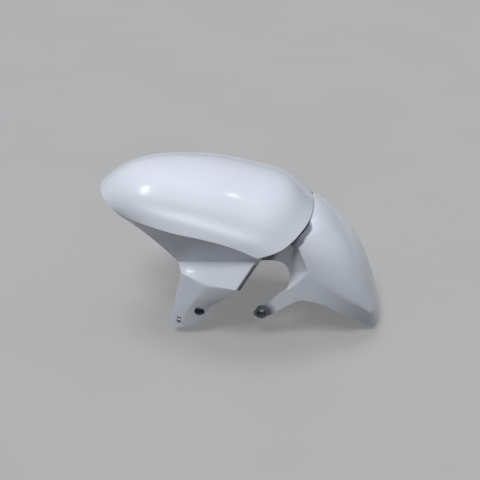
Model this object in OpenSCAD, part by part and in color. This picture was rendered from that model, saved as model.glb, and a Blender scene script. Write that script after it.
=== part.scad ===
/* [Arch over the wheel] */
// Radius of the crown line about the wheel axle
crown_r = 330; // [300:1:360]
// Angle from the top of the wheel forward to the nose
nose_reach = 26.5; // [20:0.5:32]
// Angle from the top of the wheel back to the rear edge of the blade
blade_reach = 37; // [33:0.5:40]
// Angle from the top of the wheel back to the tail
tail_reach = 79; // [74:0.5:86]
// How far the nose dips below the crown line
nose_dip = 12; // [5:1:20]
// Wall thickness of the moulding
wall = 3; // [2:0.1:4]

/* [Blade] */
// Half width of the brim at its rear end
brim_half_w = 125; // [112:1:135]
// Half width of the brim where it starts behind the nose
brim_front_half_w = 62; // [52:1:74]
// Height from the crown line down to the brim
brim_drop = 71; // [60:1:82]
// Height from the nose down to the start of the brim
nose_drop = 40; // [32:1:48]
// Angle by which the start of the brim lies behind the nose
nose_sweep = 5.2; // [3:0.1:8]
// Angle by which the rear edge comes forward at the brim
rear_sweep = 10; // [6:0.5:12]
// How steeply the flank meets the brim
flank_angle = 76; // [65:1:84]
// Depth of the groove along the flank
groove_depth = 4.5; // [0:0.5:6]
// Height of the ridge below the groove
ridge_h = 2.5; // [0:0.5:4]

/* [Undercut and shelf] */
// Half width at the front of the crease
crease_half_w = 71; // [66:1:78]
// Height of the front of the crease above the axle
crease_front_z = 186; // [178:1:194]
// Height of the rear of the crease above the axle
crease_rear_z = 219; // [212:1:225]
// Half width at the front of the shelf edge
shelf_front_half_w = 92; // [88:1:98]
// Half width of the shelf edge at the fold of the leg
shelf_fold_half_w = 112; // [104:1:118]
// Half width at the rear of the shelf edge
shelf_rear_half_w = 130; // [122:1:138]
// Height of the shelf edge above the axle
shelf_z = 172; // [166:1:178]
// Width of the lip that runs down the rear edge of the shelf
lip_w = 6; // [4:0.5:9]

/* [Step and fork pocket] */
// Depth of the step behind the blade at the crown
step_depth = 4; // [3.5:0.5:6]
// Depth of the groove at the foot of the step, below the brim
step_groove = 3.5; // [0:0.5:4]
// Half width across the bottom of the two pockets
pocket_half_w = 72; // [66:1:80]
// Height of the lower edge of the pocket wall above the axle
pocket_edge_z = 196; // [188:1:204]
// Height of the top of the pocket above the axle
pocket_top_z = 231; // [224:1:238]

/* [Rear panel] */
// Half width of the rear panel
panel_half_w = 95; // [88:1:102]
// Half width of the fold at the tail
tail_half_w = 68; // [56:1:80]
// Height of the side of the rear panel at its front
side_h = 60; // [50:1:68]
// Width of the flange below the fold
flange_h = 30; // [20:1:36]
// Width of the band that turns in round the tail, along the crown
tail_band = 35; // [28:1:42]
// How far the band turns in
tail_tuck = 5; // [2:0.5:10]

/* [Leg, arm and bolts] */
// Distance of the front bolts behind the axle
front_bolt_x = 25; // [21:1:30]
// Distance between the front and the rear bolts
bolt_spacing = 99; // [94:1:104]
// Height of the bolts above the axle
bolt_z = 112; // [106:1:116]
// Half of the distance between the seats of the left and the right bolts
seat_half_w = 90; // [88:0.5:92]
// Diameter of the bolt holes
bolt_hole_d = 6.5; // [5:0.1:8]
// Diameter of the recess round each bolt
recess_d = 15; // [12:0.5:16]
// Depth of the recess below the outer face
recess_depth = 6; // [4:0.5:8]
// Diameter of the boss inside each recess
boss_d = 19; // [18:0.5:21]
// Thickness of the floor of each recess
seat_t = 3; // [2:0.5:5]
// Diameter of the hose clip hole in each foot
clip_hole_d = 7; // [4:0.5:9]

/* [Hidden] */

// Rows run from the centre line down the side
brim_row = 12;
crease_row = 15;
fold_row = 16;
shelf_row = 18;
flange_row = 20;
foot_row = 24;
// Columns run from the nose to the tail
fold_col = 10;
blade_col = 20;
step_col = 21;
tip_col = 22;
wall_col = 28;
panel_col = 31;
tail_col = 43;
last_col = 45;

function mix(a, b, t) = a + (b - a) * t;
function clamp(t) = max(0, min(1, t));
function smooth(t) = let (c = clamp(t)) c * c * (3 - 2 * c);
function bump(t) = exp(-t * t);
function unit(v) = v / max(norm(v), 0.000001);
// A point from its radius, its angle behind the top of the wheel and its half width
function arch(r, angle, y) = [-r * sin(angle), y, r * cos(angle)];
// A smooth curve through evenly spaced points, for t from 0 to 1 and a little beyond
function curve(p, t) =
  let (
    n = len(p) - 1,
    k = max(0, min(n - 1, floor(t * n))),
    f = t * n - k,
    b = p[k],
    c = p[k + 1],
    a = k > 0 ? p[k - 1] : 2 * b - c,
    d = k + 1 < n ? p[k + 2] : 2 * c - b
  )
  b + f / 2 * ((c - a) + f * ((2 * a - 5 * b + 4 * c - d) + f * (3 * (b - c) + d - a)));

// Share of the half width and of the drop at s, from the crown at 0 to the edge at 1
function across(s, angle) = sin(angle * s) / sin(angle);
function below(s, angle) = (1 - cos(angle * s)) / (1 - cos(angle));

// The blade, from the nose to its rear edge
groove_s = 0.74;
groove_half = 0.08;
ridge_s = 0.88;
ridge_half = 0.07;
function blade_angle(u, s) = mix(-nose_reach + nose_sweep * s * s, blade_reach - rear_sweep * pow(s, 4), u);
nose_swell = 4;
swell_at = 0.2;
swell_half = 0.14;
dip_end = 0.18;
function crown_line(u) =
  crown_r - nose_dip * pow(clamp(1 - u / dip_end), 2) + nose_swell * bump((u - swell_at) / swell_half);
function brim_half(u) = brim_half_w - (brim_half_w - brim_front_half_w) * pow(1 - u, 3);
fall_haste = 9;
function brim_fall(u) = mix(brim_drop, nose_drop, pow(1 - u, fall_haste));
function flank_relief(u, s) =
  sin(180 * smooth((u - 0.1) / 0.95)) *
  (ridge_h * bump((s - ridge_s) / ridge_half) - groove_depth * bump((s - groove_s) / groove_half));
function blade(u, s) =
  arch(
    crown_line(u) - brim_fall(u) * below(s, flank_angle) + flank_relief(u, s),
    blade_angle(u, s),
    brim_half(u) * across(s, flank_angle)
  );

// The undercut below the brim and the shelf below the crease
crease_front = [10, crease_half_w, crease_front_z];
crease_rear = [-115, brim_half_w - 11, crease_rear_z];
rim_bow = 8;
function crease(u) = mix(crease_front, crease_rear, u);
function undercut(u, k) =
  mix(blade(u, 1), crease(u), k) + [0, 0.5, 1] * rim_bow * 4 * k * (1 - k) * pow(1 - u, 2);
shelf_front = [3, shelf_front_half_w, shelf_z + 6];
shelf_fold = [-38, shelf_fold_half_w, shelf_z - 2];
shelf_rear = [-87, shelf_rear_half_w, shelf_z + 4];

// The leg, from the shelf edge at k = 0 down to the bottom of the foot at k = 1
foot_y = seat_half_w + recess_depth;
foot_x = -front_bolt_x;
arm_x = foot_x - bolt_spacing;
leg_front = [shelf_front, [foot_x + 36, foot_y - 5, bolt_z + 36], [foot_x + 41, foot_y - 4, bolt_z + 6],
  [foot_x + 48, foot_y - 4, bolt_z - 23]];
leg_fold = [shelf_fold, [foot_x + 1, foot_y + 10, bolt_z + 32], [foot_x + 17, foot_y + 4, bolt_z + 6],
  [foot_x + 31, foot_y - 1, bolt_z - 28]];
leg_rear = [shelf_rear, [foot_x - 39, foot_y + 18, bolt_z + 34], [foot_x - 17, foot_y + 5, bolt_z + 10],
  [foot_x - 10, foot_y - 1, bolt_z - 13]];
foot_sag = 7;
function leg(u, k) =
  let (half = u < 0.5 ? mix(curve(leg_front, k), curve(leg_fold, k), u * 2)
                      : mix(curve(leg_fold, k), curve(leg_rear, k), u * 2 - 1))
  half - [0, 0, foot_sag * pow(k, 6) * (1 - pow(2 * u - 1, 4))];
function shelf(u, k) = mix(crease(u), leg(u, 0), k);

// The rear panel, from the pocket at v = 0 to the tail at v = 1
panel_angle_s = 88;
crown_flat = 1.25;
fold_fall = [side_h - 4, side_h - 12, side_h - 27, side_h - 48];
fold_half = [panel_half_w, panel_half_w - 1, panel_half_w - 9, tail_half_w];
fold_front = 45.5;
band_lean = 2;
fold_rear = tail_reach - band_lean - tail_band / crown_r * 180 / PI;
front_forward = 7.5;
flank_s = 0.8;
function front_angle(s) =
  fold_front - front_forward * (s < flank_s ? smooth(s / flank_s) : 1 - smooth((s - flank_s) / (1 - flank_s)));
function panel_angle(v, s) = mix(front_angle(s), fold_rear + band_lean * (1 - s), v);
panel_rise = [7.5, 9.5, 7, 2.5, 0];
function skin(v, s, angle, swell) =
  arch(
    crown_r - step_depth + swell - curve(fold_fall, v) * pow(below(s, panel_angle_s), crown_flat),
    angle,
    curve(fold_half, v) * across(s, panel_angle_s)
  );
function panel(v, s) = skin(v, s, panel_angle(v, s), curve(panel_rise, v) * (1 - s * s));

// The flange below the fold
flange_share = [1.28, 0.68, 0.58, 0.4];
flange_lead = [7.2, 5.5, 5, 4.5];
flange_tuck = [0, 2, 5, 8];
function flange_line(v) =
  arch(
    crown_r - step_depth - curve(fold_fall, v) - flange_h * curve(flange_share, v),
    panel_angle(v, 1) + curve(flange_lead, v),
    curve(fold_half, v) - curve(flange_tuck, v)
  );
function flange(v, k) = mix(panel(v, 1), flange_line(v), k);

// The rim of the tail, from the centre line at t = 0 to the corner at t = 1
corner_angle = tail_reach - 3;
corner_r = crown_r - 26;
corner_half = tail_half_w - 9;
function tail_rim(t) =
  arch(
    mix(corner_r, crown_r - step_depth - tail_tuck, cos(90 * t)),
    mix(corner_angle, tail_reach, cos(90 * t)),
    corner_half * sin(90 * t)
  );

// The arm, from its tip at t = 0 back to the fold at t = 1
arm_top = [[arm_x + 6, foot_y, bolt_z + 8], [arm_x - 12, foot_y, bolt_z + 20],
  [arm_x - 28, foot_y, bolt_z + 40], [arm_x - 48, foot_y, bolt_z + 56], panel(0, 1)];
arm_bottom = [[arm_x + 4, foot_y, bolt_z - 9], [arm_x - 14, foot_y, bolt_z - 2],
  [arm_x - 31, foot_y, bolt_z + 11], [arm_x - 46, foot_y, bolt_z + 21], flange_line(0)];
tip_round = 8;
function arm(t, k) =
  mix(curve(arm_top, t), curve(arm_bottom, t), k) + [tip_round * pow(1 - t, 8) * sin(180 * k), 0, 0];

// The step behind the blade and the pocket for the fork leg
pocket_row = 10;
step_splay = 0.3;
lip_back = [lip_w * 0.85, lip_w * 1.5, lip_w];
function rear_s(j) =
  j <= pocket_row ? 1 - pow(1 - j / fold_row, 1.7)
  : mix(rear_s(pocket_row), 1, (j - pocket_row) / (fold_row - pocket_row));
function step_angle(j) = blade_angle(1, j / brim_row) + mix(0.5, step_splay, j / pocket_row);
// The panel carried on forward to the step, from w = 0 at the step to w = 1 at the front of the panel
function step_zone(j, w) =
  let (
    s = rear_s(j),
    front = front_angle(s),
    v = (step_angle(j) - front) / (panel_angle(1, s) - front) * (1 - w),
    groove = step_groove * smooth(j / 6) * (1 - smooth(w * 4))
  )
  skin(v, s, panel_angle(v, s), curve(panel_rise, v) * (1 - s * s) * smooth(w) - groove);
pocket_top = [[-150, pocket_half_w, pocket_top_z - 3], [-161, pocket_half_w, pocket_top_z - 4],
  [-171, pocket_half_w, pocket_top_z - 10]];
pocket_bottom = [[-121, pocket_half_w, pocket_edge_z], [-136, pocket_half_w, pocket_edge_z + 1],
  [-153, pocket_half_w, pocket_edge_z - 1], [-163, pocket_half_w, pocket_edge_z - 11],
  [-167, pocket_half_w + 2, pocket_edge_z - 26]];
function pocket_wall(t, k) = mix(curve(pocket_top, t), curve(pocket_bottom, t), k);

// A point of the outer skin from its column and its row
function front_point(u, j) =
  j <= brim_row ? blade(u, j / brim_row)
  : j <= crease_row ? undercut(u, (j - brim_row) / (crease_row - brim_row))
  : j <= shelf_row ? shelf(u, (j - crease_row) / (shelf_row - crease_row))
  : leg(u, (j - shelf_row) / (foot_row - shelf_row));
function pocket_point(i, j) =
  let (
    t = (i - step_col) / (wall_col - step_col),
    k = (j - pocket_row - 1) / (crease_row - pocket_row - 1),
    w = (i - step_col) / (panel_col - step_col)
  )
  j <= pocket_row ? step_zone(j, w)
  : j <= crease_row && i > wall_col
    ? mix(pocket_wall(1, k), panel(0, rear_s(j)), (i - wall_col) / (panel_col - wall_col))
  : j <= crease_row ? pocket_wall(t, k)
  : i == step_col ? front_point(1, j) - lip_back
  : arm((i - tip_col) / (panel_col - tip_col), (j - fold_row) / (flange_row - fold_row));
function panel_point(v, j) =
  j <= fold_row ? panel(v, rear_s(j)) : flange(v, (j - fold_row) / (flange_row - fold_row));
// Columns lie closer together towards the nose
nose_gather = 1.35;
function front_share(i) = i < fold_col ? pow(i / fold_col, nose_gather) / 2 : i / blade_col;
function skin_point(i, j) =
  i <= blade_col ? front_point(front_share(i), j)
  : i < panel_col ? pocket_point(i, j)
  : i <= tail_col ? panel_point((i - panel_col) / (tail_col - panel_col), j)
  : mix(panel_point(1, j), tail_rim(j / flange_row), (i - tail_col) / (last_col - tail_col));

// Whether the skin has a face between column i and i + 1 and between row j and j + 1
function has_cell(i, j) =
  i < 0 || j < 0 || i >= last_col ? false
  : i < blade_col ? j < foot_row
  : i < step_col ? j < shelf_row
  : i < wall_col ? j < crease_row || (i >= tip_col && j >= fold_row && j < flange_row)
  : j < flange_row;

// Both halves together: side rows below zero mirror the others
function side_point(i, j) =
  let (p = skin_point(i, abs(j))) [p[0], j == 0 ? 0 : sign(j) * p[1], p[2]];
function side_cell(i, j) = has_cell(i, j < 0 ? -j - 1 : j);
rows = 2 * foot_row + 1;
outer = [for (i = [0:last_col]) [for (j = [-foot_row:foot_row]) side_point(i, j)]];
function at(i, j) = outer[i][j + foot_row];
function cell_normal(i, j) = unit(cross(at(i + 1, j + 1) - at(i, j), at(i, j + 1) - at(i + 1, j)));
// The inner skin lies one wall inside, along the mean normal of the faces that meet at a point
function total(v) = [for (k = [0:2]) [for (n = v) n[k]] * [for (n = v) 1]];
corner_limit = 0.45;
function inward(i, j) =
  let (
    n = [for (a = [i - 1, i]) for (b = [j - 1, j]) if (side_cell(a, b)) cell_normal(a, b)],
    mean = len(n) > 0 ? total(n) / len(n) : [0, 0, 0]
  )
  wall * mean / max(corner_limit, mean * mean);
function inner_point(i, j) = at(i, j) + inward(i, j);
inner = [for (i = [0:last_col]) [for (j = [-foot_row:foot_row]) inner_point(i, j)]];
outer_points = [for (c = outer) each c];
inner_points = [for (c = inner) each c];
skin_points = concat(outer_points, inner_points);
function outer_id(i, j) = i * rows + j + foot_row;
function inner_id(i, j) = outer_id(i, j) + len(outer_points);
// Two triangles of a four sided face, split the same way on both halves
function split(a, b, c, d, j) = j < 0 ? [[d, b, a], [d, c, b]] : [[c, b, a], [d, c, a]];
function rim_faces(a, b, c, d) = [[c, b, a], [d, c, a]];
skin_faces = [
  for (i = [0:last_col - 1]) for (j = [-foot_row:foot_row - 1]) if (side_cell(i, j))
    each concat(
      split(outer_id(i, j), outer_id(i, j + 1), outer_id(i + 1, j + 1), outer_id(i + 1, j), j),
      [for (f = split(inner_id(i, j), inner_id(i, j + 1), inner_id(i + 1, j + 1), inner_id(i + 1, j), j))
        [f[2], f[1], f[0]]],
      side_cell(i - 1, j) ? []
        : rim_faces(outer_id(i, j + 1), outer_id(i, j), inner_id(i, j), inner_id(i, j + 1)),
      side_cell(i + 1, j) ? []
        : rim_faces(outer_id(i + 1, j), outer_id(i + 1, j + 1), inner_id(i + 1, j + 1), inner_id(i + 1, j)),
      side_cell(i, j - 1) ? []
        : rim_faces(outer_id(i, j), outer_id(i + 1, j), inner_id(i + 1, j), inner_id(i, j)),
      side_cell(i, j + 1) ? []
        : rim_faces(outer_id(i + 1, j + 1), outer_id(i, j + 1), inner_id(i, j + 1), inner_id(i + 1, j + 1))
    )
];

// The part stands with the middle of its underside at the origin
edge_points = [
  for (i = [0:last_col]) for (j = [0:foot_row])
    if (has_cell(i, j) || has_cell(i - 1, j) || has_cell(i, j - 1) || has_cell(i - 1, j - 1))
      each [at(i, j), inner_point(i, j)]
];
front_x = max([for (p = edge_points) p[0]]);
rear_x = min([for (p = edge_points) p[0]]);
low_z = min([for (p = edge_points) p[2]]);
axle = [-(front_x + rear_x) / 2, 0, -low_z];

module moulded_skin() {
  polyhedron(skin_points, skin_faces);
}

// How far the cuts run past the faces, and where the clip hole lies from the front bolt
overcut = 20;
clip_forward = 34;
clip_drop = 21;
// A cylinder that runs across the part on one side, between two distances from the middle
module crosswise(side, x, z, d, from, to) {
  translate([x, side * from, z])
    rotate([-90 * side, 0, 0])
      cylinder(d = d, h = to - from, $fn = 48);
}

module bolt_boss(side, x) {
  crosswise(side, x, bolt_z, boss_d, seat_half_w - seat_t, foot_y - 0.5);
}

module bolt_hole(side, x) {
  crosswise(side, x, bolt_z, bolt_hole_d, seat_half_w - seat_t - overcut, foot_y + overcut);
  crosswise(side, x, bolt_z, recess_d, seat_half_w, foot_y + overcut);
}

module clip_hole(side) {
  crosswise(side, foot_x + clip_forward, bolt_z - clip_drop, clip_hole_d, foot_y - overcut, foot_y + overcut);
}

module mudguard_shell() {
  color("gainsboro")
  translate(axle)
  difference() {
    union() {
      moulded_skin();
      for (side = [-1, 1], x = [foot_x, arm_x]) bolt_boss(side, x);
    }
    for (side = [-1, 1], x = [foot_x, arm_x]) bolt_hole(side, x);
    for (side = [-1, 1]) clip_hole(side);
  }
}

mudguard_shell();
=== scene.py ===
from math import cos, exp, floor, pi, radians, sin

import bmesh
import bpy
from mathutils import Matrix, Vector


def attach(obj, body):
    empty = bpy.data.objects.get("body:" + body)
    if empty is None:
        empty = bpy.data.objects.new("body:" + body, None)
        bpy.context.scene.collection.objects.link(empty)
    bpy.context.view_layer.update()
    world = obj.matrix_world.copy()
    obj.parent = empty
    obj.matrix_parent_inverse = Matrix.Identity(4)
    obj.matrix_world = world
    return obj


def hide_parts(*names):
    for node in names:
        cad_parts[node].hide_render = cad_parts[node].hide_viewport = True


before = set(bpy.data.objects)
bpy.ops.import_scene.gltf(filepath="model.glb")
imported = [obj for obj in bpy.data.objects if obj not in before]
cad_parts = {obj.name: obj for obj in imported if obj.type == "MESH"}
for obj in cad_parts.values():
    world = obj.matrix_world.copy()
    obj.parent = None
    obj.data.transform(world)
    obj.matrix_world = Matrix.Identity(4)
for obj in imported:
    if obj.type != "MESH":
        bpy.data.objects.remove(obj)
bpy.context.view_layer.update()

NODE = "mudguard_shell"
MM = 0.001

# Driving sizes in millimetres and degrees, the same as in the part's source
crown_r = 330
nose_reach = 26.5
blade_reach = 37
tail_reach = 79
nose_dip = 12
wall = 3
brim_half_w = 125
brim_front_half_w = 62
brim_drop = 71
nose_drop = 40
nose_sweep = 5.2
rear_sweep = 10
flank_angle = 76
groove_depth = 4.5
ridge_h = 2.5
crease_half_w = 71
crease_front_z = 186
crease_rear_z = 219
shelf_front_half_w = 92
shelf_fold_half_w = 112
shelf_rear_half_w = 130
shelf_z = 172
lip_w = 6
step_depth = 4
step_groove = 3.5
pocket_half_w = 72
pocket_edge_z = 196
pocket_top_z = 231
panel_half_w = 95
tail_half_w = 68
side_h = 60
flange_h = 30
tail_band = 35
tail_tuck = 5
front_bolt_x = 25
bolt_spacing = 99
bolt_z = 112
seat_half_w = 90
bolt_hole_d = 6.5
recess_d = 15
recess_depth = 6
boss_d = 19
seat_t = 3
clip_hole_d = 7

clip_forward = 34
clip_drop = 21

# The grid of the skin: rows run from the centre line down the side, columns from the nose to the tail
pocket_row = 10
brim_row = 12
crease_row = 15
fold_row = 16
shelf_row = 18
flange_row = 20
foot_row = 24
fold_col = 10
blade_col = 20
step_col = 21
tip_col = 22
wall_col = 28
panel_col = 31
tail_col = 43
last_col = 45


def mix(a, b, t):
    return a + (b - a) * t


def clamp(t):
    return max(0.0, min(1.0, t))


def smooth(t):
    c = clamp(t)
    return c * c * (3 - 2 * c)


def bump(t):
    return exp(-t * t)


def dsin(a):
    return sin(radians(a))


def dcos(a):
    return cos(radians(a))


def arch(r, angle, y):
    """A point from its radius, its angle behind the top of the wheel and its half width."""
    return Vector((-r * dsin(angle), y, r * dcos(angle)))


def curve(p, t):
    """A smooth curve through evenly spaced points, for t from 0 to 1."""
    n = len(p) - 1
    k = max(0, min(n - 1, floor(t * n)))
    f = t * n - k
    b, c = p[k], p[k + 1]
    a = p[k - 1] if k > 0 else 2 * b - c
    d = p[k + 2] if k + 1 < n else 2 * c - b
    return b + f / 2 * ((c - a) + f * ((2 * a - 5 * b + 4 * c - d) + f * (3 * (b - c) + d - a)))


def across(s, angle):
    return dsin(angle * s) / dsin(angle)


def below(s, angle):
    return (1 - dcos(angle * s)) / (1 - dcos(angle))


# The blade. Its u runs from 0 at the nose to 1 at the rear edge, its s from 0 at the centre line to 1 at the brim
nose_dip_u = 0.18
nose_swell = 4
nose_swell_u = 0.2
nose_swell_width = 0.14
shoulder_h = 9
shoulder_u = 0.85
shoulder_width = 0.11
shoulder_end = 0.1
rear_bow = 0.8
rear_bow_s = 0.6
rear_bow_width = 0.25
groove_s = 0.74
groove_fall = 0.09
groove_width = 0.08
ridge_s = 0.88
ridge_fall = 0.14
ridge_width = 0.07
relief_start = 0.1
relief_rise = 0.35
relief_end = 1.02
relief_fade = 0.3


def blade_angle(u, s):
    rear = blade_reach - rear_sweep * s ** 4 - rear_bow * bump((s - rear_bow_s) / rear_bow_width)
    return mix(-nose_reach + nose_sweep * s * s, rear, u)


def crown_line(u):
    dip = nose_dip * clamp(1 - u / nose_dip_u) ** 2
    return crown_r - dip + nose_swell * bump((u - nose_swell_u) / nose_swell_width)


def brim_half(u):
    return brim_half_w - (brim_half_w - brim_front_half_w) * (1 - u) ** 3


def brim_fall(u):
    return mix(brim_drop, nose_drop, (1 - u) ** 9)


def flank_relief(u, s):
    """The groove and the ridge below it, both lower towards the rear."""
    fade = smooth((u - relief_start) / relief_rise) * smooth((relief_end - u) / relief_fade)
    ridge = bump((s - ridge_s - ridge_fall * (u - 0.5)) / ridge_width)
    groove = bump((s - groove_s - groove_fall * (u - 0.5)) / groove_width)
    return fade * (ridge_h * ridge - groove_depth * groove)


def shoulder(u, s):
    """The blade's back stays high and then rounds down to its rear edge."""
    rise = bump((u - shoulder_u) / shoulder_width) * smooth((1 - u) / shoulder_end)
    return shoulder_h * rise * (1 - s * s)


def blade(u, s):
    r = crown_line(u) + shoulder(u, s) - brim_fall(u) * below(s, flank_angle) + flank_relief(u, s)
    return arch(r, blade_angle(u, s), brim_half(u) * across(s, flank_angle))


# The undercut below the brim and the shelf below the crease
crease_front = Vector((10, crease_half_w, crease_front_z))
crease_rear = Vector((-115, brim_half_w - 11, crease_rear_z))
rim_bow = 8
rim_bow_out = 0.5


def crease(u):
    return mix(crease_front, crease_rear, u)


def undercut(u, k):
    bow = rim_bow * 4 * k * (1 - k) * (1 - u) ** 2
    return mix(blade(u, 1), crease(u), k) + Vector((0, rim_bow_out, 1)) * bow


shelf_front = Vector((3, shelf_front_half_w, shelf_z + 6))
shelf_fold = Vector((-38, shelf_fold_half_w, shelf_z - 2))
shelf_rear = Vector((-87, shelf_rear_half_w, shelf_z + 4))

# The leg, from the shelf edge at k = 0 down to the bottom of the foot at k = 1
foot_y = seat_half_w + recess_depth
foot_x = -front_bolt_x
arm_x = foot_x - bolt_spacing


def from_foot(x, y, z):
    """A point given from the front bolt, on the outer face of the foot."""
    return Vector((foot_x + x, foot_y + y, bolt_z + z))


def from_arm(x, z):
    """A point given from the rear bolt, on the outer face of the arm."""
    return Vector((arm_x + x, foot_y, bolt_z + z))


leg_front = [shelf_front, from_foot(36, -5, 36), from_foot(41, -4, 6), from_foot(49, -4, -28)]
leg_fold = [shelf_fold, from_foot(1, 10, 32), from_foot(17, 4, 6), from_foot(31, -1, -28)]
leg_rear = [shelf_rear, from_foot(-39, 18, 34), from_foot(-17, 5, 10), from_foot(-10, -1, -13)]
foot_sag = 7


def leg(u, k):
    if u < 0.5:
        p = mix(curve(leg_front, k), curve(leg_fold, k), u * 2)
    else:
        p = mix(curve(leg_fold, k), curve(leg_rear, k), u * 2 - 1)
    return p - Vector((0, 0, foot_sag * k ** 6 * (1 - (2 * u - 1) ** 4)))


def shelf(u, k):
    return mix(crease(u), leg(u, 0), k)


# The rear panel, from the pocket at v = 0 to the tail at v = 1
panel_angle_s = 88
panel_power = 1.25
fold_fall = [side_h - 4, side_h - 12, side_h - 27, side_h - 48]
fold_half = [panel_half_w, panel_half_w - 1, panel_half_w - 9, tail_half_w]
fold_front = 45.5
band_lean = 2
fold_rear = tail_reach - band_lean - tail_band / crown_r * 180 / pi
front_forward = 7.5
front_turn_s = 0.8
panel_rise = [7.5, 9.5, 7, 2.5, 0]


def front_angle(s):
    turn = smooth(s / front_turn_s) if s < front_turn_s else 1 - smooth((s - front_turn_s) / (1 - front_turn_s))
    return fold_front - front_forward * turn


def panel_angle(v, s):
    return mix(front_angle(s), fold_rear + band_lean * (1 - s), v)


def skin(v, s, angle, swell):
    r = crown_r - step_depth + swell - curve(fold_fall, v) * below(s, panel_angle_s) ** panel_power
    return arch(r, angle, curve(fold_half, v) * across(s, panel_angle_s))


def panel(v, s):
    return skin(v, s, panel_angle(v, s), curve(panel_rise, v) * (1 - s * s))


# The flange below the fold
flange_share = [1.28, 0.68, 0.58, 0.4]
flange_lead = [7.2, 5.5, 5, 4.5]
flange_tuck = [0, 2, 5, 8]


def flange_line(v):
    r = crown_r - step_depth - curve(fold_fall, v) - flange_h * curve(flange_share, v)
    return arch(r, panel_angle(v, 1) + curve(flange_lead, v), curve(fold_half, v) - curve(flange_tuck, v))


def flange(v, k):
    return mix(panel(v, 1), flange_line(v), k)


# The rim of the tail, from the centre line at t = 0 to the corner at t = 1
corner_angle = tail_reach - 3
corner_r = crown_r - 26
corner_half = tail_half_w - 9


def tail_rim(t):
    return arch(mix(corner_r, crown_r - step_depth - tail_tuck, dcos(90 * t)),
                mix(corner_angle, tail_reach, dcos(90 * t)), corner_half * dsin(90 * t))


# The arm, from its tip at t = 0 back to the fold at t = 1
arm_top = [from_arm(6, 8), from_arm(-12, 20), from_arm(-28, 40), from_arm(-48, 56), panel(0, 1)]
arm_bottom = [from_arm(4, -9), from_arm(-14, -2), from_arm(-31, 11), from_arm(-46, 21), flange_line(0)]
tip_round = 8


def arm(t, k):
    rounding = tip_round * (1 - t) ** 8 * dsin(180 * k)
    return mix(curve(arm_top, t), curve(arm_bottom, t), k) + Vector((rounding, 0, 0))


# The step behind the blade and the pocket for the fork leg
step_gap_crown = 0.5
step_gap_side = 0.3
step_groove_rows = 6
step_groove_share = 4
rear_row_power = 1.7
lip_back = Vector((lip_w * 0.85, lip_w * 1.5, lip_w))
pocket_top = [Vector((x, pocket_half_w, pocket_top_z + z))
              for x, z in ((-150, -3), (-161, -4), (-171, -10))]
pocket_bottom = [Vector((x, pocket_half_w + y, pocket_edge_z + z))
                 for x, y, z in ((-121, 0, 0), (-136, 0, 1), (-153, 0, -1), (-163, 0, -11), (-167, 2, -26))]


def rear_s(j):
    """The share of the rear panel's half width at row j."""
    if j <= pocket_row:
        return 1 - (1 - j / fold_row) ** rear_row_power
    return mix(rear_s(pocket_row), 1, (j - pocket_row) / (fold_row - pocket_row))


def step_angle(j):
    return blade_angle(1, j / brim_row) + mix(step_gap_crown, step_gap_side, j / pocket_row)


def step_zone(j, w):
    """The panel carried on forward to the step, from w = 0 at the step to w = 1 at the front of the panel."""
    s = rear_s(j)
    front = front_angle(s)
    v = (step_angle(j) - front) / (panel_angle(1, s) - front) * (1 - w)
    groove = step_groove * smooth(j / step_groove_rows) * (1 - smooth(w * step_groove_share))
    return skin(v, s, panel_angle(v, s), curve(panel_rise, v) * (1 - s * s) * dsin(90 * w) - groove)


def pocket_wall(t, k):
    return mix(curve(pocket_top, t), curve(pocket_bottom, t), k)


def front_point(u, j):
    if j <= brim_row:
        return blade(u, j / brim_row)
    if j <= crease_row:
        return undercut(u, (j - brim_row) / (crease_row - brim_row))
    if j <= shelf_row:
        return shelf(u, (j - crease_row) / (shelf_row - crease_row))
    return leg(u, (j - shelf_row) / (foot_row - shelf_row))


def pocket_point(i, j):
    if j <= pocket_row:
        return step_zone(j, (i - step_col) / (panel_col - step_col))
    if j <= crease_row:
        k = (j - pocket_row - 1) / (crease_row - pocket_row - 1)
        if i > wall_col:
            return mix(pocket_wall(1, k), panel(0, rear_s(j)), (i - wall_col) / (panel_col - wall_col))
        return pocket_wall((i - step_col) / (wall_col - step_col), k)
    if i == step_col:
        return front_point(1, j) - lip_back
    return arm((i - tip_col) / (panel_col - tip_col), (j - fold_row) / (flange_row - fold_row))


def panel_point(v, j):
    if j <= fold_row:
        return panel(v, rear_s(j))
    return flange(v, (j - fold_row) / (flange_row - fold_row))


def front_share(i):
    """Columns lie closer together towards the nose."""
    return (i / fold_col) ** 1.35 / 2 if i < fold_col else i / blade_col


def skin_point(i, j):
    if i <= blade_col:
        return front_point(front_share(i), j)
    if i < panel_col:
        return pocket_point(i, j)
    if i <= tail_col:
        return panel_point((i - panel_col) / (tail_col - panel_col), j)
    return mix(panel_point(1, j), tail_rim(j / flange_row), (i - tail_col) / (last_col - tail_col))


def has_cell(i, j):
    """Whether the skin has a face between column i and i + 1 and between row j and j + 1."""
    if i < 0 or j < 0 or i >= last_col:
        return False
    if i < blade_col:
        return j < foot_row
    if i < step_col:
        return j < shelf_row
    if i < wall_col:
        return j < crease_row or (i >= tip_col and fold_row <= j < flange_row)
    return j < flange_row


# The mesh has two steps to each row. Its shade value darkens the colour: painted shade in the gap behind the
# blade and on the lip under its rear edge, and a darker leg edge and arm tips. gap_reach is how far the painted
# shade runs back from the step, in millimetres, from the centre line down to the pocket
half_rows = 2
gap_reach = [-3, -3, -3, 1, 8, 12.5, 14.5, 16, 20, 26, 30]
gap_shade = 0.68
gap_blur = 3
lip_shades = [1.0, 1.0, 0.5]
blade_edge_shade = 0.4


def fine_point(i, h):
    """A point of the outer skin at half row h. Between two unlike patches it lies midway."""
    low, odd = divmod(h, half_rows)
    between = step_col <= i < panel_col and low in (pocket_row, crease_row)
    if odd and between:
        return mix(skin_point(i, low), skin_point(i, low + 1), 0.5)
    return skin_point(i, h / half_rows)


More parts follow.
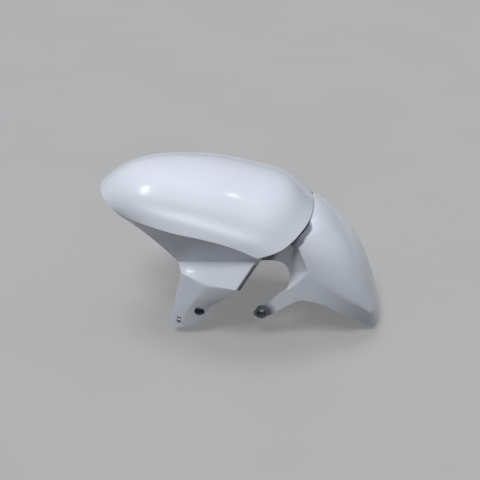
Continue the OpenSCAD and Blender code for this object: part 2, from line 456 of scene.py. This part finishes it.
def shade(i, h):
    """How much painted shade the groove and the lip get, and how dark the leg's edge and the arm's tip are, from 0
    to 1.
    """
    row = h / half_rows
    if row <= pocket_row:
        if step_col <= i < panel_col:
            # Painted shadow in the gap behind the blade's rear edge, fading with the distance behind the step
            behind = (skin_point(i, row) - skin_point(step_col, row)).length
            return gap_shade * clamp(0.5 + (curve(gap_reach, row / pocket_row) - behind) / gap_blur)
        return 0.0
    if row <= crease_row:
        # Painted shade on the lip under the blade's rear edge
        return lip_shades[i - step_col] if 0 <= i - step_col < len(lip_shades) else 0.0
    if i == blade_col:
        return blade_edge_shade
    return 1.0 if i == step_col or (i == tip_col and row >= fold_row) else 0.0


def edge_softness():
    """Crease of each feature line, keyed by its two grid points on one half."""
    lines = {}

    def row_line(j, first, last, value):
        for i in range(first, last):
            lines[((i, j * half_rows), (i + 1, j * half_rows))] = value

    def column_line(i, first, last, value):
        for h in range(first * half_rows, last * half_rows):
            lines[((i, h), (i, h + 1))] = value

    row_line(brim_row, 0, blade_col, 1.0)
    row_line(crease_row, 0, blade_col, 0.95)
    row_line(shelf_row, 0, blade_col, 0.95)
    column_line(fold_col, shelf_row, foot_row, 0.9)
    column_line(blade_col, 0, shelf_row, 1.0)
    column_line(step_col, 0, crease_row, 0.8)
    row_line(pocket_row, step_col, panel_col, 0.8)
    row_line(pocket_row + 1, step_col, wall_col, 0.7)
    column_line(wall_col, pocket_row + 1, crease_row, 0.7)
    column_line(panel_col, pocket_row, fold_row, 0.8)
    row_line(fold_row, panel_col, tail_col, 0.75)
    column_line(tail_col, 0, flange_row, 0.6)
    return lines


def skin_mesh(shift):
    """The outer skin as one sheet of four sided faces, both halves."""
    bm = bmesh.new()
    tone = bm.verts.layers.float.new("shade")
    points = {}

    def vertex(i, h):
        if (i, h) not in points:
            p = fine_point(i, abs(h))
            y = 0 if h == 0 else (p.y if h > 0 else -p.y)
            points[(i, h)] = bm.verts.new((Vector((p.x, y, p.z)) + shift) * MM)
            points[(i, h)][tone] = shade(i, abs(h))
        return points[(i, h)]

    for i in range(last_col):
        for h in range(-foot_row * half_rows, foot_row * half_rows):
            row = h // half_rows
            if has_cell(i, -row - 1 if row < 0 else row):
                bm.faces.new((vertex(i, h), vertex(i, h + 1), vertex(i + 1, h + 1), vertex(i + 1, h)))
    crease_layer = bm.edges.layers.float.new("crease_edge")
    for (a, b), value in edge_softness().items():
        for side in (-1, 1):
            va = points.get((a[0], side * a[1]))
            vb = points.get((b[0], side * b[1]))
            edge = bm.edges.get((va, vb)) if va and vb else None
            if edge:
                edge[crease_layer] = value
    bm.normal_update()
    mesh = bpy.data.meshes.new("mudguard_skin")
    bm.to_mesh(mesh)
    bm.free()
    return mesh


def axle_shift():
    """From the wheel axle to the part's own origin, which is under the middle of its box."""
    tail = [skin_point(i, j) for i in range(panel_col, last_col + 1) for j in range(flange_row + 1)]
    return Vector((-(skin_point(0, 0).x + min(p.x for p in tail)) / 2, 0, -min(p.z for p in tail)))


shift = axle_shift()


def apply(thing, modifier):
    """Bakes one modifier into the mesh."""
    with bpy.context.temp_override(object=thing, active_object=thing, selected_objects=[thing]):
        bpy.ops.object.modifier_apply(modifier=modifier.name)


def add_object(name, mesh):
    thing = bpy.data.objects.new(name, mesh)
    bpy.context.scene.collection.objects.link(thing)
    return thing


tip_core = 2
tip_blur = 36
spot_halo = 0.7
spot_blur = 0.5


def darken_spots(thing):
    """Raises the shade value: painted shade in the bolt seats and around the clip hole, and a darker tip on the
    arm.
    """
    spots = [(arm_x, bolt_z, tip_core, tip_blur), (foot_x, bolt_z, recess_d / 2 + spot_halo, spot_blur),
             (foot_x + clip_forward, bolt_z - clip_drop, clip_hole_d / 2 + spot_halo, spot_blur)]
    values = thing.data.attributes["shade"].data
    for vertex in thing.data.vertices:
        x = vertex.co.x / MM - shift.x
        z = vertex.co.z / MM - shift.z
        for spot_x, spot_z, full, fade in spots:
            away = ((x - spot_x) ** 2 + (z - spot_z) ** 2) ** 0.5
            if abs(vertex.co.y) / MM > seat_half_w - seat_t - 1:
                values[vertex.index].value = max(values[vertex.index].value, smooth(1 - (away - full) / fade))


# Round bars: how many sides they have, how far the cutting ones run past the surface, and how far the bosses stop
# short of the foot's outer face
bar_sides = 96
overcut = 20
boss_sink = 0.5


def crosswise(name, x, z, radius, start, end):
    """A round bar that lies across the bike, its centre at x and z in the axle's frame, in millimetres."""
    bpy.ops.mesh.primitive_cylinder_add(
        vertices=bar_sides, radius=radius * MM, depth=abs(end - start) * MM,
        location=((x + shift.x) * MM, (start + end) / 2 * MM, (z + shift.z) * MM), rotation=(pi / 2, 0, 0))
    bar = bpy.context.object
    bar.name = name
    bpy.ops.object.transform_apply(location=True, rotation=True, scale=True)
    return bar


def combine(thing, other, operation):
    """Joins another solid to the thing or cuts it out, then drops it."""
    change = thing.modifiers.new(other.name, "BOOLEAN")
    change.operation = operation
    change.solver = "EXACT"
    change.object = other
    apply(thing, change)
    bpy.data.objects.remove(other, do_unlink=True)


def thicken(thing):
    """Rounds the skin between its feature lines and gives it the wall's thickness, inwards."""
    rounding = thing.modifiers.new("rounding", "SUBSURF")
    rounding.levels = 1
    rounding.render_levels = 1
    rounding.boundary_smooth = "PRESERVE_CORNERS"
    apply(thing, rounding)
    thickness = thing.modifiers.new("thickness", "SOLIDIFY")
    thickness.thickness = wall * MM
    thickness.offset = -1
    thickness.use_even_offset = False
    apply(thing, thickness)


def add_mounts(thing):
    """The bosses, then the bores, the recessed seats and the clip holes, on both sides."""
    inside = foot_y - overcut
    outside = foot_y + overcut
    for side in (-1, 1):
        for x in (foot_x, arm_x):
            boss = crosswise("boss", x, bolt_z, boss_d / 2,
                             side * (seat_half_w - seat_t), side * (foot_y - boss_sink))
            combine(thing, boss, "UNION")
        for x in (foot_x, arm_x):
            bore = crosswise("bore", x, bolt_z, bolt_hole_d / 2, side * inside, side * outside)
            combine(thing, bore, "DIFFERENCE")
            seat = crosswise("seat", x, bolt_z, recess_d / 2, side * seat_half_w, side * outside)
            combine(thing, seat, "DIFFERENCE")
        clip = crosswise("clip_hole", foot_x + clip_forward, bolt_z - clip_drop, clip_hole_d / 2,
                         side * inside, side * outside)
        combine(thing, clip, "DIFFERENCE")


edge_round = 0.5
round_limit = 62
hard_limit = 38


def round_edges(thing):
    """A small rounding on every edge that turns more than the limit."""
    rim = thing.modifiers.new("rim", "BEVEL")
    rim.width = edge_round * MM
    rim.segments = 2
    rim.limit_method = "ANGLE"
    rim.angle_limit = radians(round_limit)
    rim.use_clamp_overlap = True
    apply(thing, rim)


def keep_sharp_edges(thing, limit):
    """Smooth faces, with hard shading only across edges that turn more than the limit."""
    bm = bmesh.new()
    bm.from_mesh(thing.data)
    for face in bm.faces:
        face.smooth = True
    for edge in bm.edges:
        if len(edge.link_faces) == 2 and edge.calc_face_angle() > limit:
            edge.smooth = False
    bm.to_mesh(thing.data)
    bm.free()


def build_mudguard():
    """The moulded shell with its bosses, recessed seats and bores."""
    thing = add_object("mudguard", skin_mesh(shift))
    thicken(thing)
    add_mounts(thing)
    round_edges(thing)
    darken_spots(thing)
    keep_sharp_edges(thing, radians(hard_limit))
    even = thing.modifiers.new("even", "WEIGHTED_NORMAL")
    even.keep_sharp = True
    return thing


def new_material(name):
    """A node material, its tree and its main shader."""
    material = bpy.data.materials.new(name)
    material.use_nodes = True
    tree = material.node_tree
    return material, tree, tree.nodes["Principled BSDF"]


def add_node(tree, kind, **values):
    """A node with its settings, or the values of its inputs, given by name."""
    node = tree.nodes.new(kind)
    for name, value in values.items():
        if hasattr(node, name):
            setattr(node, name, value)
        else:
            node.inputs[name.replace("_", " ")].default_value = value
    return node


def noise(tree, scale, detail):
    """Noise in the object's own metres."""
    place = add_node(tree, "ShaderNodeTexCoord")
    grain = add_node(tree, "ShaderNodeTexNoise", Scale=scale, Detail=detail)
    tree.links.new(place.outputs["Object"], grain.inputs["Vector"])
    return grain.outputs["Fac"]


def spread(tree, source, low, high, start=0.3, end=0.7):
    """Turns a value between start and end, such as noise, into one between low and high."""
    ramp = add_node(tree, "ShaderNodeMapRange", From_Min=start, From_Max=end, To_Min=low, To_Max=high)
    tree.links.new(source, ramp.inputs["Value"])
    return ramp.outputs["Result"]


# The sockets of the mix node's colour mode
MIX_FACTOR = 0
MIX_FIRST = 6
MIX_SECOND = 7
MIX_RESULT = 2


def mix_colors(tree, factor, first, second):
    """Mixes two colours, each given as its three values or as a socket."""
    both = add_node(tree, "ShaderNodeMix", data_type="RGBA")
    tree.links.new(factor, both.inputs[MIX_FACTOR])
    for socket, color in ((both.inputs[MIX_FIRST], first), (both.inputs[MIX_SECOND], second)):
        if isinstance(color, tuple):
            socket.default_value = (*color, 1)
        else:
            tree.links.new(color, socket)
    return both.outputs[MIX_RESULT]


def bump_from(tree, source, distance, strength, before=None):
    push = add_node(tree, "ShaderNodeBump", Distance=distance, Strength=strength)
    tree.links.new(source, push.inputs["Height"])
    if before:
        tree.links.new(before, push.inputs["Normal"])
    return push.outputs["Normal"]


# White plastic: two tones of paint, and the dark tone that paints shade into the gap, the lip and the seats and
# darkens the arms' tips
paint_tones = ((0.765, 0.80, 0.865), (0.79, 0.825, 0.885))
painted_shade_tone = (0.10, 0.11, 0.13)
shade_start = 0.25
shade_end = 0.75
plastic_roughness = (0.23, 0.26)
plastic_coat = {"Coat Weight": 0.5, "Coat Roughness": 0.06, "IOR": 1.5}
plastic_bump = 0.05
peel_depth = 0.0003
wave_depth = 0.001


def white_plastic():
    """Glossy injection moulded plastic, painted a slightly blue white."""
    material, tree, shader = new_material("white_plastic")
    paint = mix_colors(tree, spread(tree, noise(tree, 14, 3), 0, 1), *paint_tones)
    shadow = add_node(tree, "ShaderNodeAttribute", attribute_name="shade")
    # The shade attribute mixes painted shade into the paint's colour
    depth = spread(tree, shadow.outputs["Fac"], 0, 1, shade_start, shade_end)
    tree.links.new(mix_colors(tree, depth, paint, painted_shade_tone), shader.inputs["Base Color"])
    tree.links.new(spread(tree, noise(tree, 9, 0), *plastic_roughness), shader.inputs["Roughness"])
    for name, value in plastic_coat.items():
        shader.inputs[name].default_value = value
    peel = bump_from(tree, noise(tree, 160, 0), peel_depth, plastic_bump)
    waves = bump_from(tree, noise(tree, 30, 0), wave_depth, plastic_bump, peel)
    tree.links.new(waves, shader.inputs["Normal"])
    return material


# The floor: the tones that the camera and the gloss see, a part of their brightness as glow so that the part's
# shadow stays soft, and the tone that lights the part's underside
floor_tones = ((0.272, 0.270, 0.267), (0.286, 0.284, 0.281))
floor_glow = 0.18
floor_bounce = (0.08, 0.08, 0.085)
floor_size = 16


def studio_floor():
    """Plain matt grey."""
    material, tree, shader = new_material("floor_grey")
    shown = mix_colors(tree, spread(tree, noise(tree, 3, 2), 0, 1), *floor_tones)
    path = tree.nodes.new("ShaderNodeLightPath")
    seen = add_node(tree, "ShaderNodeMath", operation="MAXIMUM")
    tree.links.new(path.outputs["Is Camera Ray"], seen.inputs[0])
    tree.links.new(path.outputs["Is Glossy Ray"], seen.inputs[1])
    tree.links.new(mix_colors(tree, seen.outputs[0], floor_bounce, shown), shader.inputs["Base Color"])
    glow = add_node(tree, "ShaderNodeMath", operation="MULTIPLY")
    glow.inputs[1].default_value = floor_glow
    tree.links.new(seen.outputs[0], glow.inputs[0])
    tree.links.new(glow.outputs[0], shader.inputs["Emission Strength"])
    shader.inputs["Emission Color"].default_value = (1, 1, 1, 1)
    tree.links.new(spread(tree, noise(tree, 9, 2), 0.85, 0.95), shader.inputs["Roughness"])
    tree.links.new(bump_from(tree, noise(tree, 60, 2), 0.001, 0.05), shader.inputs["Normal"])
    shader.inputs["Specular IOR Level"].default_value = 0.1
    return material


# Studio: the light comes from above and a little from the nose's side. Each aim points from the part to its lamp
sun_spread = 22
near_strength = 1.58
near_aim = (0.20, 0.43, 0.88)
far_strength = 0.85
far_aim = (0.20, -0.22, 0.955)
fill_strength = 0.22
fill_aim = (-0.35, 0.87, 0.35)
fill_spread = 60
sky_top = (0.30, 0.32, 0.37)
sky_side = (0.045, 0.05, 0.06)
sky_low = (0.04, 0.04, 0.046)
# Place, width, height, lean and power of each lamp that only shows in the gloss
glints = [((1.175, 0.328, 1.699), 0.80, 0.22, 0.8, 3.4), ((-0.34, -0.294, 1.959), 0.22, 0.11, 0.25, 0.45)]


def build_floor():
    bpy.ops.mesh.primitive_plane_add(size=floor_size, location=(0, 0, 0))
    floor_piece = bpy.context.object
    floor_piece.name = "floor"
    floor_piece.data.materials.append(studio_floor())


def aim(thing, direction):
    """Turns a lamp so that it shines against a direction, which points from the part to the lamp."""
    thing.rotation_mode = "QUATERNION"
    thing.rotation_quaternion = Vector(direction).to_track_quat("Z", "Y")


def build_sun(name, strength, direction, spread_angle):
    """A far lamp that doesn't show in the gloss."""
    lamp = bpy.data.lights.new(name, "SUN")
    lamp.energy = strength
    lamp.angle = radians(spread_angle)
    holder = add_object(name, lamp)
    aim(holder, direction)
    holder.visible_glossy = False


def build_sky():
    """A soft dome, brighter overhead, that fills the shadows and shows in the gloss."""
    world = bpy.data.worlds.new("studio")
    bpy.context.scene.world = world
    world.use_nodes = True
    tree = world.node_tree
    place = tree.nodes.new("ShaderNodeTexCoord")
    split = tree.nodes.new("ShaderNodeSeparateXYZ")
    height = add_node(tree, "ShaderNodeMapRange")
    height.inputs["From Min"].default_value = -1
    ramp = tree.nodes.new("ShaderNodeValToRGB")
    steps = ramp.color_ramp.elements
    steps[0].color = (*sky_low, 1)
    steps[1].color = (*sky_top, 1)
    steps.new(0.5).color = (*sky_side, 1)
    tree.links.new(place.outputs["Generated"], split.inputs["Vector"])
    tree.links.new(split.outputs["Z"], height.inputs["Value"])
    tree.links.new(height.outputs["Result"], ramp.inputs["Fac"])
    tree.links.new(ramp.outputs["Color"], tree.nodes["Background"].inputs["Color"])


def build_glints():
    """Two small lamps that only show as highlights in the gloss."""
    for k, (place, width, height, lean, power) in enumerate(glints):
        lamp = bpy.data.lights.new(f"glint_{k}", "AREA")
        lamp.shape = "ELLIPSE"
        lamp.size = width
        lamp.size_y = height
        lamp.energy = power
        holder = add_object(f"glint_{k}", lamp)
        holder.location = place
        back = (Vector(place) - camera_target).normalized()
        along = Vector((lean, 1, 0))
        wide = (along - back * along.dot(back)).normalized()
        holder.rotation_mode = "QUATERNION"
        holder.rotation_quaternion = Matrix((wide, back.cross(wide), back)).transposed().to_quaternion()
        holder.visible_diffuse = False


camera_target = Vector(((shift.x - 81.4) * MM, 0, (shift.z + 189.3) * MM))
camera_distance = 1.5
camera_side_angle = -5
camera_height_angle = 30
camera_lens = 68.6


def build_camera():
    """Looks at the part's left side, from above."""
    data = bpy.data.cameras.new("camera")
    data.sensor_width = 36
    data.lens = camera_lens
    camera = bpy.data.objects.new("camera", data)
    back = Vector((dsin(camera_side_angle) * dcos(camera_height_angle),
                   dcos(camera_side_angle) * dcos(camera_height_angle), dsin(camera_height_angle)))
    camera.location = camera_target + back * camera_distance
    camera.rotation_mode = "QUATERNION"
    camera.rotation_quaternion = back.to_track_quat("Z", "Y")
    bpy.context.scene.collection.objects.link(camera)
    bpy.context.scene.camera = camera
    bpy.context.scene.view_settings.view_transform = "Standard"


mudguard = build_mudguard()
mudguard.data.materials.append(white_plastic())
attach(mudguard, "root")
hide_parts(NODE)
build_floor()
build_sun("near", near_strength, near_aim, sun_spread)
build_sun("far", far_strength, far_aim, sun_spread)
build_sun("fill", fill_strength, fill_aim, fill_spread)
build_sky()
build_glints()
build_camera()
